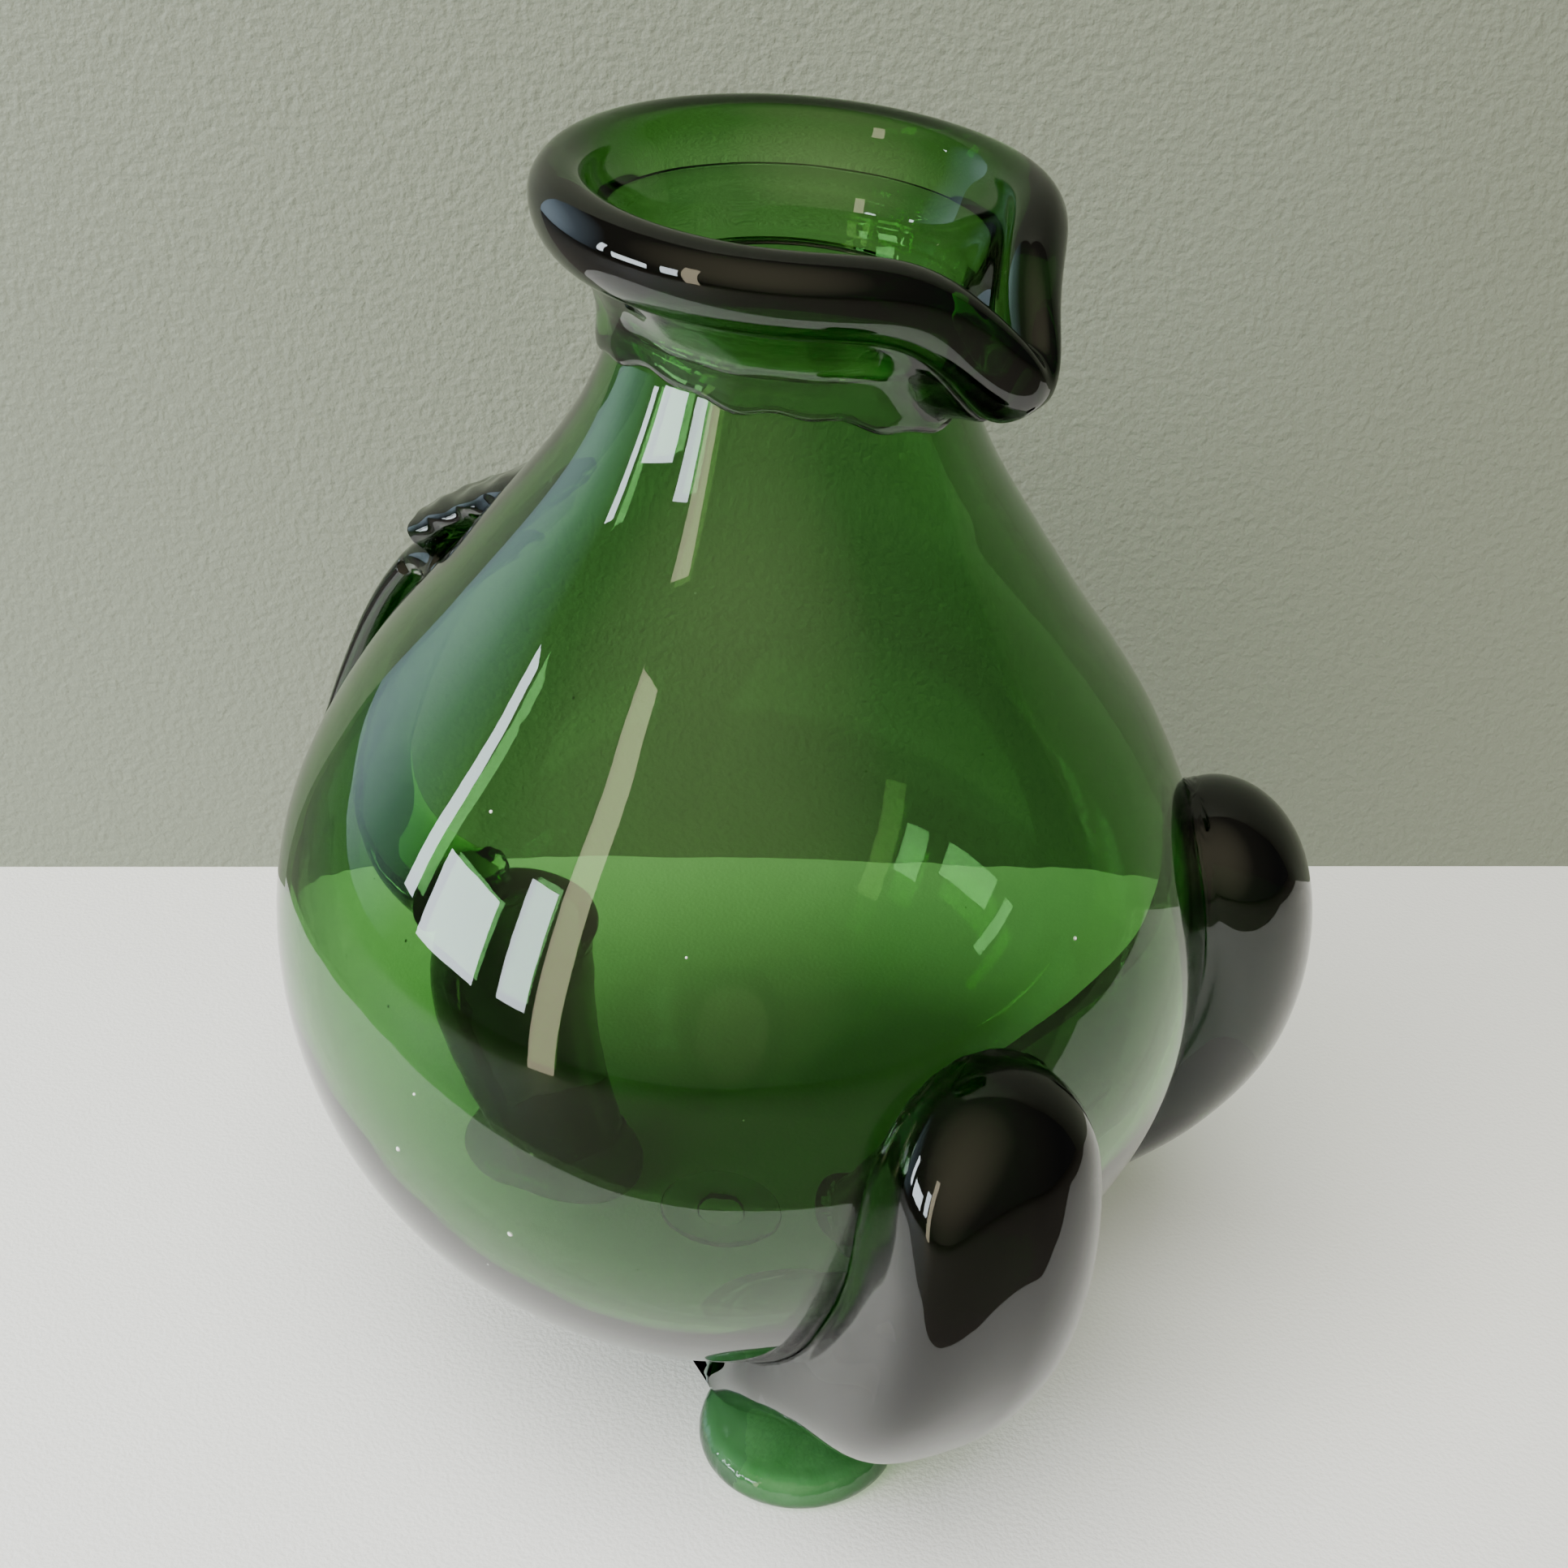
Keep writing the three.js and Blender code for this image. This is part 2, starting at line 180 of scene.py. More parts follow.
def cappedRows(rows):
    # points and faces of a tube with both ends closed
    count, columns = rows.shape[:2]
    points = np.concatenate([rows.reshape(-1, 3), [rows[0].mean(axis=0), rows[-1].mean(axis=0)]])
    faces = gridFaces(count, columns)
    last = (count - 1) * columns
    for j in range(columns):
        faces.append((count * columns, (j + 1) % columns, j))
        faces.append((count * columns + 1, last + j, last + (j + 1) % columns))
    return points, faces


# Glass finishes. The two tints are mixed by a smeared pattern, and absorb is what a millimetre takes from
# red, green and blue. Clear is the share of light that goes through, gloss the strength of the mirror image
# and shade what is left of light on its way to the table. Ripple, chatter and pressed are heights in mm.
# Painted rim shade is how strongly a piece's outline is painted dark where its surface is seen edge-on, 0
# for none.
finishes = {
    "bodyGlass": {
        "tint": (0.94, 0.985, 0.945), "streak": (0.9, 0.97, 0.9), "absorb": (0.275, 0.14, 0.315),
        "clear": 1.0, "gloss": 0.36, "roughness": 0.0, "paintedRimShade": 0.0, "shade": (0.4, 0.5, 0.36),
        "ripple": 0.13, "chatter": 0.006, "pressed": 0.0},
    "thickGlass": {
        "tint": (0.94, 0.985, 0.945), "streak": (0.9, 0.97, 0.9), "absorb": (0.22, 0.107, 0.265),
        "clear": 1.0, "gloss": 0.36, "roughness": 0.0, "paintedRimShade": 0.0, "shade": (0.4, 0.5, 0.36),
        "ripple": 0.06, "chatter": 0.0, "pressed": 0.0},
    "footGlass": {
        "tint": (0.23, 0.54, 0.27), "streak": (0.1, 0.34, 0.13), "absorb": (0.1, 0.05, 0.12),
        "clear": 0.7, "gloss": 0.4, "roughness": 0.05, "paintedRimShade": 0.62, "shade": (0.93, 0.97, 0.93),
        "ripple": 0.2, "chatter": 0.0, "pressed": 0.8},
}
deepColour = (0.015, 0.024, 0.012)
# the dark green of the painted shade on a piece's outline
paintedRimShadeColour = (0.03, 0.07, 0.035)
glassIndex = 1.5
bumpUnit = 0.001  # a height of 1 is 1 mm


def newMaterial(name):
    material = bpy.data.materials.new(name)
    material.use_nodes = True
    nodes = material.node_tree.nodes
    return material, nodes, material.node_tree.links.new, nodes["Principled BSDF"]


def mixColours(nodes, link, factor, first, second):
    # first and second are colours or the outputs of other nodes
    mix = nodes.new("ShaderNodeMix")
    mix.data_type = "RGBA"
    link(factor, mix.inputs["Factor"])
    for socket, value in ((mix.inputs["A"], first), (mix.inputs["B"], second)):
        if isinstance(value, tuple):
            socket.default_value = (*value, 1)
        else:
            link(value, socket)
    return mix.outputs["Result"]


def mixSurfaces(nodes, link, factor, first, second):
    mix = nodes.new("ShaderNodeMixShader")
    link(factor, mix.inputs["Fac"])
    link(first, mix.inputs[1])
    link(second, mix.inputs[2])
    link(mix.outputs["Shader"], nodes["Material Output"].inputs["Surface"])


def addBump(nodes, link, height, strength, shader):
    bump = nodes.new("ShaderNodeBump")
    bump.inputs["Strength"].default_value = strength
    bump.inputs["Distance"].default_value = bumpUnit
    link(height, bump.inputs["Height"])
    link(bump.outputs["Normal"], shader.inputs["Normal"])


def rippleGroup():
    # surface of hand-blown glass: long bands round the jug, soft lumps, fine chatter above the belly,
    # the crumpled skin of glass that was pressed on a cold plate, and the pattern that mixes the tints,
    # each a noise with so many cells in a metre
    group = bpy.data.node_groups.new("blownRipple", "ShaderNodeTree")
    for name in ("Ripple", "Chatter", "Pressed"):
        group.interface.new_socket(name, in_out="INPUT", socket_type="NodeSocketFloat")
    for name in ("Height", "Streak"):
        group.interface.new_socket(name, in_out="OUTPUT", socket_type="NodeSocketFloat")
    nodes, link = group.nodes, group.links.new
    enter, leave = nodes.new("NodeGroupInput"), nodes.new("NodeGroupOutput")
    place = nodes.new("ShaderNodeTexCoord")

    def noise(scale, detail):
        stretch = nodes.new("ShaderNodeMapping")
        stretch.inputs["Scale"].default_value = scale
        texture = nodes.new("ShaderNodeTexNoise")
        texture.inputs["Scale"].default_value = 1
        texture.inputs["Detail"].default_value = detail
        link(place.outputs["Object"], stretch.inputs["Vector"])
        link(stretch.outputs["Vector"], texture.inputs["Vector"])
        return texture.outputs["Fac"]

    def maths(kind, first, second):
        node = nodes.new("ShaderNodeMath")
        node.operation = kind
        for socket, value in zip(node.inputs, (first, second)):
            if isinstance(value, (int, float)):
                socket.default_value = value
            else:
                link(value, socket)
        return node.outputs[0]

    def ramp(value, low, high):
        node = nodes.new("ShaderNodeMapRange")
        node.inputs["From Min"].default_value = low
        node.inputs["From Max"].default_value = high
        link(value, node.inputs["Value"])
        return node.outputs["Result"]

    split = nodes.new("ShaderNodeSeparateXYZ")
    link(place.outputs["Object"], split.inputs["Vector"])
    bands = maths("MULTIPLY", noise((14, 14, 52), 2), 0.6)
    lumps = maths("MULTIPLY", noise((26, 26, 26), 1), 0.5)
    fine = maths("MULTIPLY", noise((30, 30, 290), 1), ramp(split.outputs["Z"], 0.1, 0.17))
    folds = maths("ADD", noise((130, 60, 90), 3), maths("MULTIPLY", noise((420, 420, 420), 2), 0.25))
    height = maths("MULTIPLY", maths("ADD", bands, lumps), enter.outputs["Ripple"])
    height = maths("ADD", height, maths("MULTIPLY", fine, enter.outputs["Chatter"]))
    link(maths("ADD", height, maths("MULTIPLY", folds, enter.outputs["Pressed"])), leave.inputs["Height"])
    link(ramp(noise((45, 45, 45), 5), 0.4, 0.65), leave.inputs["Streak"])
    return group


ripple = rippleGroup()


def glassMaterial(name):
    finish = finishes[name]
    material, nodes, link, shader = newMaterial(name)
    shader.inputs["IOR"].default_value = glassIndex
    shader.inputs["Specular IOR Level"].default_value = finish["gloss"]
    shader.inputs["Transmission Weight"].default_value = finish["clear"]
    shader.inputs["Roughness"].default_value = finish["roughness"]
    surface = nodes.new("ShaderNodeGroup")
    surface.node_tree = ripple
    surface.inputs["Ripple"].default_value = finish["ripple"]
    surface.inputs["Chatter"].default_value = finish["chatter"]
    surface.inputs["Pressed"].default_value = finish["pressed"]
    addBump(nodes, link, surface.outputs["Height"], 1, shader)
    colour = mixColours(nodes, link, surface.outputs["Streak"], finish["tint"], finish["streak"])
    # painted shade: the outline of the piece is painted darker where its surface is seen edge-on
    if finish["paintedRimShade"]:
        edge = nodes.new("ShaderNodeLayerWeight")
        edge.inputs["Blend"].default_value = finish["paintedRimShade"]
        colour = mixColours(nodes, link, edge.outputs["Facing"], colour, paintedRimShadeColour)
    else:
        # where the piece says that its glass is deep, little light gets through
        deep = nodes.new("ShaderNodeAttribute")
        deep.attribute_name = "deep"
        colour = mixColours(nodes, link, deep.outputs["Fac"], colour, deepColour)
    link(colour, shader.inputs["Base Color"])
    # light on its way to a lamp goes straight through, so that the table under the glass is lit
    ray = nodes.new("ShaderNodeLightPath")
    straight = nodes.new("ShaderNodeBsdfTransparent")
    straight.inputs["Color"].default_value = (*finish["shade"], 1)
    mixSurfaces(nodes, link, ray.outputs["Is Shadow Ray"], shader.outputs["BSDF"], straight.outputs["BSDF"])
    # absorption is the density times one minus the colour, whose darkest part stays just above 0
    headroom = 1.05
    density = 1000 * max(finish["absorb"]) * headroom
    volume = nodes.new("ShaderNodeVolumeAbsorption")
    volume.inputs["Color"].default_value = (*[1 - 1000 * take / density for take in finish["absorb"]], 1)
    volume.inputs["Density"].default_value = density
    link(volume.outputs["Volume"], nodes["Material Output"].inputs["Volume"])
    return material


bodyGlass, thickGlass, footGlass = [glassMaterial(name) for name in finishes]
print("glass finishes ready")

# Body: the blown bubble, with slow unevenness pressed into it
bubble = {"around": 224, "outsideSteps": 150, "insideSteps": 110, "uneven": 0.35,
          "insideShare": 0.6, "insideTurn": 40}  # the inside is less uneven and out of step, in degrees


def uneven(degrees, height):
    # always inwards, so that the jug stays inside its box
    turn = np.radians(degrees)
    wave = (np.sin(2 * turn + 0.021 * height + 0.4) + 0.7 * np.sin(5 * turn - 0.03 * height + 1.3)
            + 0.6 * np.sin(0.11 * height + 2 * np.sin(turn)) + 0.4 * np.sin(9 * turn + 0.05 * height))
    highest = 2.7
    fades = smooth(-92, -60, height) * smooth(142, 110, height)
    return bubble["uneven"] * (wave - highest) / highest * fades


def makeBody():
    degrees = np.arange(bubble["around"]) * 360 / bubble["around"]
    rows = []
    for share in np.linspace(0, 1, bubble["outsideSteps"]):
        r, z = offWall(share, 0)
        rows.append(polar(r + uneven(degrees, z) * (share > 0), degrees, z))
    for share in np.linspace(1, 0, bubble["insideSteps"]):
        wall = jug["base"] + (jug["wall"] - jug["base"]) * smooth(0, jug["baseShare"], share)
        r, z = offWall(share, -wall)
        z = jug["neckHeight"] if share == 1 else z
        unevenness = bubble["insideShare"] * uneven(degrees + bubble["insideTurn"], z)
        rows.append(polar((max(r, 0) + unevenness) * (share > 0), degrees, z))
    points = standing(np.concatenate(rows))
    faces = gridFaces(len(rows), bubble["around"])
    meshPiece("vesselBody", points, faces, bodyGlass, "vessel_body")


makeBody()
print("body blown")

# Lip: a coil laid on the neck, rolled over and pulled out to a pinched spout at 0 degrees
lip = {
    "coil": 10.5, "width": 20.3, "bandFlare": 2.9, "reach": 7.2, "dip": 18.6, "keel": 10, "pinch": 0.48,
    "tipBell": 17, "keelBell": 20, "dipBell": 21, "rimDrop": 2, "rimDropAngle": 127, "liftCoils": 2.1,
    "thinAngle": 128, "thinCosines": (0.3, 0.85), "fullest": 1.5, "around": 288, "outlineSteps": 62,
}
lipFoot = jug["neckHeight"] + 0.3
seamLevel = jug["neckHeight"] - jug["sink"]
bandTop = jug["neckHeight"] + lip["coil"]
lipBore = jug["neckRadius"] - jug["wall"]


def bell(degrees, width):
    return np.exp(-(degrees / width) ** 2)


def thinness(degrees):
    # 1 at the back of the rim, where the roll is thin, and 0 at its sides and spout
    return smooth(*lip["thinCosines"], math.cos(math.radians(degrees - lip["thinAngle"])))


def pullSpout(radius, degrees, height, keel=0.0):
    # a point of the round lip after the rim is tilted and the spout drawn out, down and narrower
    lift = smooth(lipFoot, lipFoot + lip["liftCoils"] * lip["coil"], height)
    tilt = 0.5 * lip["rimDrop"] * (1 + np.cos(np.radians(degrees - lip["rimDropAngle"])))
    dip = (lip["dip"] * bell(degrees, lip["dipBell"]) + tilt) * lift
    dip = dip + lip["keel"] * keel * bell(degrees, lip["keelBell"])
    point = polar(radius + lip["reach"] * bell(degrees, lip["tipBell"]) * lift, degrees, height - dip)
    point[..., 1] = point[..., 1] * (1 - lip["pinch"] * bell(degrees, lip["dipBell"]) * lift)
    return point


def seamCorner(degrees):
    # where the lip's outline, the band and the neck meet
    flared = pullSpout(jug["neckRadius"] + lip["bandFlare"], degrees, bandTop, 1)
    share = smooth(jug["neckHeight"], bandTop, flared[2])
    upright = polar(jug["neckRadius"], degrees, flared[2])
    return upright + (flared - upright) * share


# Outline of the roll as shares of its width and of the coil, with the share of the keel at each point
rollTop = [(0, 0, 0), (0.08, 0.72, 0), (0.24, 1.4, 0), (0.42, 1.95, 0), (0.51, 2.3, 0), (0.66, 2.455, 0),
           (0.84, 2.38, 0), (0.96, 2.1, 0)]
fullUnderside = [(0.98, 1.78, 0.2), (0.93, 1.42, 0.5), (0.83, 1.14, 0.8), (0.7, 1.02, 0.95), (0.58, 1.05, 1)]
leanUnderside = [(0.98, 1.84, 0.2), (0.91, 1.64, 0.5), (0.8, 1.48, 0.8), (0.67, 1.3, 0.95), (0.56, 1.1, 1)]
rollMiddle = (0.74, 1.8)
rollInside, rollOutside = 0.5, 0.98
# The roll is made fuller from the first share to the second, up its inside and out along its underside
fullerUp, fullerOut = (1.0, 1.9), (0.56, 0.95)
outlineSpans = len(rollTop) + len(fullUnderside) - 1
# Stretches of the outline, counted in its points, where deep glass fades in and fades out again
deepRoll = (3.6, 4.6, 11.2, 12.3)
deepEdge = (4.1, 4.5, 7.4, 8.2)
deepSides = {"bell": 46, "least": 0.55}


def rollPoint(out, up, degrees, keel=0.0):
    return pullSpout(lipBore + out * lip["width"], degrees, lipFoot + up * lip["coil"], keel)


def rollLine(degrees):
    # the outline at an angle round the jug, with the roll as thick across its run as it is elsewhere
    thin = thinness(degrees)
    under = np.array(fullUnderside) * (1 - thin) + np.array(leanUnderside) * thin
    outline = rollTop + under.tolist()
    centre = rollPoint(*rollMiddle, degrees)
    run = rollPoint(*rollMiddle, degrees + 2) - rollPoint(*rollMiddle, degrees - 2)
    radial = rollPoint(rollOutside, rollMiddle[1], degrees) - rollPoint(rollInside, rollMiddle[1], degrees)
    level = math.hypot(run[0], run[1])
    across = abs(run[0] * radial[1] - run[1] * radial[0]) / level
    wider = min(max((rollOutside - rollInside) * lip["width"] / across, 1), lip["fullest"])
    taller = min(max(np.linalg.norm(run) / level, 1), lip["fullest"])
    line = []
    for i, (out, up, keel) in enumerate(outline):
        point = rollPoint(out, up, degrees, keel)
        weight = smooth(*fullerUp, up) if i < len(rollTop) else smooth(*fullerOut, out)
        offset = point - centre
        line.append(point + weight * offset * np.array([wider - 1, wider - 1, taller - 1]))
    return line


def lipRow(degrees):
    line = rollLine(degrees)
    line[0] = polar(lipBore, degrees, seamLevel)
    line = list(splinePoints(line, lip["outlineSteps"]))
    corner = seamCorner(degrees)
    end = polar(jug["neckRadius"], degrees, seamLevel)
    line += [corner + (end - corner) * t for t in (0, 0.25, 0.5, 0.75, 1)]
    return line


def fadeInOut(fades, along):
    start, full, fading, gone = fades
    return smooth(start, full, along) * smooth(gone, fading, along)


def lipDeep(degrees, count):
    # how deep the glass is along the outline: the whole roll at the spout, only its top edge at the back
    along = np.arange(count) / lip["outlineSteps"] * outlineSpans
    side = max(bell(degrees, deepSides["bell"]), deepSides["least"])
    thin = thinness(degrees)
    return fadeInOut(deepRoll, along) * side * (1 - thin) + fadeInOut(deepEdge, along) * thin


def makeLip():
    angles = np.arange(lip["around"]) * 360 / lip["around"] - 180
    rows = [lipRow(angle) for angle in angles]
    points = standing(np.concatenate(rows))
    deep = np.concatenate([lipDeep(angle, len(rows[0])) for angle in angles])
    faces = gridFaces(len(rows), len(rows[0]), True)
    meshPiece("lipCoil", points, faces, thickGlass, "lip_coil", deep)


makeLip()

# Band: a skirt of glass under the lip, its wavy lower edge sunk into the neck
band = {"depth": 6.5, "wave": 1.3, "keelShare": 0.56, "leastHeight": 2.5, "middle": 0.55, "steps": 20,
        "hollow": -1.2}
# How far its outside stands off its inside, and how far up from its low edge
skirt = [(1.9, -0.5), (3.4, 0.7)]
skirtMiddle = 3.7


def bandRow(degrees):
    corner = seamCorner(degrees)
    turn = math.radians(degrees)
    wave = math.sin(3 * turn) + 0.6 * math.sin(7 * turn + 1) + 0.35 * math.sin(17 * turn)
    keelDrop = band["keelShare"] * lip["keel"] * bell(degrees, lip["keelBell"])
    low = jug["neckHeight"] - band["depth"] + band["wave"] * wave - keelDrop
    low = min(low, corner[2] - band["leastHeight"])
    inside = wallRadius(low) - jug["sink"]
    top = corner + np.array([0, 0, jug["sink"]])
    outer = rollLine(degrees)[-1] + polar(-0.2, degrees, 0.9 * jug["sink"])
    middle = band["middle"] * low + (1 - band["middle"]) * top[2]
    line = [polar(inside, degrees, low)]
    line += [polar(inside + off, degrees, low + up) for off, up in skirt]
    line += [polar(inside + skirtMiddle, degrees, middle), outer + np.array([0, 0, band["hollow"]]), outer]
    line = list(splinePoints(line, band["steps"]))
    return line + [top, polar(inside, degrees, min(jug["neckHeight"] - jug["sink"], middle + 1))]


def makeBand():
    angles = np.arange(lip["around"]) * 360 / lip["around"] - 180
    rows = [bandRow(angle) for angle in angles]
    points = standing(np.concatenate(rows))
    faces = gridFaces(len(rows), len(rows[0]), True)
    meshPiece("neckBand", points, faces, bodyGlass, "neck_band")


makeBand()
print("lip and neck band laid")

# Legs: gobs drawn down the wall, their edges spread thin on it, each ending on a pressed foot.
# Levels are heights between which a form comes or goes.
leg = {
    "width": 42, "thickness": 34, "rings": 160, "around": 176, "ringCrowding": 1.35, "headShare": 0.13,
    "thinning": 0.2, "flangeWidth": 0.8, "flangeHeight": 2.5, "flangeLevels": (-60, -30), "sagTop": 40,
    "shoulderTop": (34, 4), "shoulderLow": (-70, -22), "shoulderPower": 1.6,
    "footTaper": 0.2, "footTaperLevels": (-70, -104),
}
foot = {"circle": 54, "stretch": 8, "radius": 22.5, "heelShare": 0.86, "thickness": 9,
        "halfAround": 72, "steps": 64}
# The foot's section as shares of its outline and of its thickness
footRim = [(0.3, 0), (0.6, 0), (0.86, 0), (0.97, 0.22), (1, 0.5), (0.97, 0.82), (0.9, 0.98), (0.8, 1),
           (0.6, 1), (0.3, 1)]
# Middle lines as shares of the way up the wall and of the leg's thickness off it
frontPath = [(0.592, 0.04), (0.51, 0.181), (0.433, 0.254), (0.369, 0.213), (0.291, 0.085), (0.211, 0.11)]
rearPath = [(0.318, -0.056), (0.287, 0.26), (0.246, 0.418)]
# Head, heel and toe are angles round the jug, stand is the share of the foot circle where the leg comes down
legs = [
    {"name": "rightFrontLeg", "node": "right_front_leg",
     "foot": "rightFrontFoot", "footNode": "right_front_foot",
     "path": frontPath, "head": -26.5, "twist": -6, "sag": 0.13, "stand": 0.63, "broad": 1, "shoulder": 2.5,
     "heel": -20, "toe": -32},
    {"name": "leftFrontLeg", "node": "left_front_leg",
     "foot": "leftFrontFoot", "footNode": "left_front_foot",
     "path": frontPath, "head": 36, "twist": 12, "sag": -0.02, "stand": 0.63, "broad": 1, "shoulder": 0,
     "heel": 36, "toe": 48},
    {"name": "rearLeg", "node": "rear_leg",
     "foot": "rearFoot", "footNode": "rear_foot",
     "path": rearPath, "head": 158, "twist": 22, "sag": 0, "stand": 0.93, "broad": 1.15, "shoulder": 0,
     "heel": 180, "toe": 180},
]


def centripetal(points, steps):
    # even steps in the parameter of a centripetal curve, as the CAD's own curves have
    points = np.asarray(points, float)
    ends = np.concatenate([[2 * points[0] - points[1]], points, [2 * points[-1] - points[-2]]])
    out = []
    spans = len(points) - 1
    for t in steps:
        place = spans * t
        k = min(int(place), spans - 1)
        w = place - k
        p = ends[k:k + 4]
        gaps = [max(np.linalg.norm(p[i + 1] - p[i]) ** 0.5, 1e-4) for i in range(3)]
        start = (p[1] - p[0]) / gaps[0] - (p[2] - p[0]) / (gaps[0] + gaps[1]) + (p[2] - p[1]) / gaps[1]
        stop = (p[2] - p[1]) / gaps[1] - (p[3] - p[1]) / (gaps[1] + gaps[2]) + (p[3] - p[2]) / gaps[2]
        start, stop = start * gaps[1], stop * gaps[1]
        out.append((2 * p[1] - 2 * p[2] + start + stop) * w ** 3
                   + (3 * p[2] - 3 * p[1] - 2 * start - stop) * w ** 2 + start * w + p[1])
    return np.array(out)


def unit(vectors):
    return vectors / np.maximum(np.linalg.norm(vectors, axis=-1, keepdims=True), 1e-9)


def roundedEnd(steps, length):
    # a quarter circle that rises from nearly 0 to 1 over the first length of the steps
    return np.sqrt(np.clip(1 - (1 - np.minimum(steps / length, 1)) ** 2, 0.0004, 1))


def legPath(piece):
    line = [offWall(share, distance * leg["thickness"]) for share, distance in piece["path"]]
    line.append((piece["stand"] * foot["circle"], -jug["bellyHeight"]))
    path = []
    for r, z in line:
        twist = piece["twist"] * (min(z, 0) / -jug["bellyHeight"])
        sag = piece["sag"] * leg["thickness"] * float(smooth(-jug["bellyHeight"], leg["sagTop"], z))
        path.append(polar(r, piece["head"] + twist, z - sag))
    return path


def legRows(piece):
    # rings across the leg and its middle line, which starts where the rounded head ends
    steps = np.linspace(0, 1, leg["rings"]) ** leg["ringCrowding"]
    centre = centripetal(legPath(piece), steps)
    along = unit(np.gradient(centre, axis=0))
    level = unit(np.stack([-centre[:, 1], centre[:, 0], 0 * centre[:, 0]], axis=1))
    out = unit(np.cross(along, level))
    side = unit(np.cross(along, out))
    end = roundedEnd(steps, leg["headShare"])
    halfThickness = (0.5 - leg["thinning"] * smooth(0.5, 1, steps)) * leg["thickness"] * end
    turn = np.linspace(0, 2 * math.pi, leg["around"], endpoint=False)
    # a shoulder makes one flank of the section broad and steep
    swell = smooth(*leg["shoulderTop"], centre[:, 2]) * smooth(*leg["shoulderLow"], centre[:, 2])
    swell = swell[:, None] * (np.sin(turn) > 0) * (piece["shoulder"] > 0)
    power = 2 + leg["shoulderPower"] * swell
    reach = (np.abs(np.cos(turn)) ** power + np.abs(np.sin(turn)) ** power) ** (-1 / power)
    halfWidth = 0.5 * piece["broad"] * leg["width"] + piece["shoulder"] * swell
    halfWidth = halfWidth * (1 - leg["footTaper"] * smooth(*leg["footTaperLevels"], centre[:, 2]))[:, None]
    rows = (centre[:, None]
            + out[:, None] * (halfThickness[:, None] * reach * np.cos(turn))[..., None]
            + side[:, None] * (end[:, None] * halfWidth * reach * np.sin(turn))[..., None])
    core = centre[np.maximum(np.arange(len(steps)), np.argmax(steps >= leg["headShare"]))]
    return rows, core


def ontoWall(rows, core, flangeWidth, flangeHeight):
    # what lies inside the wall is laid on it, and the edge beside it spreads out thin
    shape = rows.shape
    flat = rows.reshape(-1, 3)
    middle = np.repeat(core, shape[1], axis=0)
    wide = np.broadcast_to(flangeWidth, shape[:2]).reshape(-1)
    high = np.broadcast_to(flangeHeight, shape[:2]).reshape(-1)
    radius = np.maximum(np.hypot(flat[:, 0], flat[:, 1]), 1e-6)
    share, distance = nearWall(radius, flat[:, 2])
    # the spreading dies away over the flange's height outside the wall, and more slowly inside it
    fadeInside = 9
    spread = np.where(distance > 0, (1 - np.clip(distance / high, 0, 1)) ** 2,
                      np.exp(np.minimum(distance, 0) / fadeInside)) * wide
    index = (share * (len(wallLine) - 1)).astype(int)
    radial = np.stack([flat[:, 0] / radius, flat[:, 1] / radius, 0 * radius], axis=1)
    normal = radial * wallOut[index, :1] + np.array([0, 0, 1]) * wallOut[index, 1:]
    away = flat - middle
    away = unit(away - normal * (away * normal).sum(axis=1)[:, None])
    moved = flat + away * spread[:, None]
    radius = np.maximum(np.hypot(moved[:, 0], moved[:, 1]), 1e-6)
    share = nearWall(radius, moved[:, 2])[0]
    r, z = offWall(share, np.maximum(distance, -jug["sink"]))
    laid = np.stack([moved[:, 0] / radius * r, moved[:, 1] / radius * r, z], axis=1)
    near = (distance < high)[:, None]
    return np.where(near, laid, flat).reshape(shape)


def makeLeg(piece):
    rows, core = legRows(piece)
    flangeWidth = leg["flangeWidth"] * smooth(*leg["flangeLevels"], rows[..., 2])
    rows = ontoWall(rows, core, flangeWidth, leg["flangeHeight"])
    points, faces = cappedRows(rows)
    points = standing(points)
    floorOfLeg = foot["thickness"] - jug["sink"]
    points[:, 2] = np.maximum(points[:, 2], floorOfLeg)
    meshPiece(piece["name"], points, faces, thickGlass, piece["node"])


def footRows(piece):
    # rings of an outline that is round about the toe and about the heel
    low = -jug["bellyHeight"]
    heel = standing(polar(foot["circle"] - foot["stretch"] / 2, piece["heel"], low))
    toe = standing(polar(foot["circle"] + foot["stretch"] / 2, piece["toe"], low))
    heading = math.atan2(toe[1] - heel[1], toe[0] - heel[0])
    half = foot["halfAround"]
    outline = []
    for i in range(2 * half):
        middle, radius = (toe, foot["radius"]) if i < half else (heel, foot["heelShare"] * foot["radius"])
        turn = heading - math.pi / 2 + (i + 0.5) * math.pi / half
        outline.append((middle[0] + radius * math.cos(turn), middle[1] + radius * math.sin(turn)))
    outline = np.array(outline)
    middle = (heel[:2] + toe[:2]) / 2
    rows = []
    for scale, height in splinePoints(footRim, foot["steps"]):
        ring = middle + (outline - middle) * min(scale, 1)
        level = np.full(len(ring), np.clip(height, 0, 1) * foot["thickness"])
        rows.append(np.column_stack([ring, level]))
    return np.array(rows)


def makeFoot(piece):
    points, faces = cappedRows(footRows(piece))
    meshPiece(piece["foot"], points, faces, footGlass, piece["footNode"])


for piece in legs:
    makeLeg(piece)
for piece in legs:
    makeFoot(piece)
print("legs drawn and feet pressed")

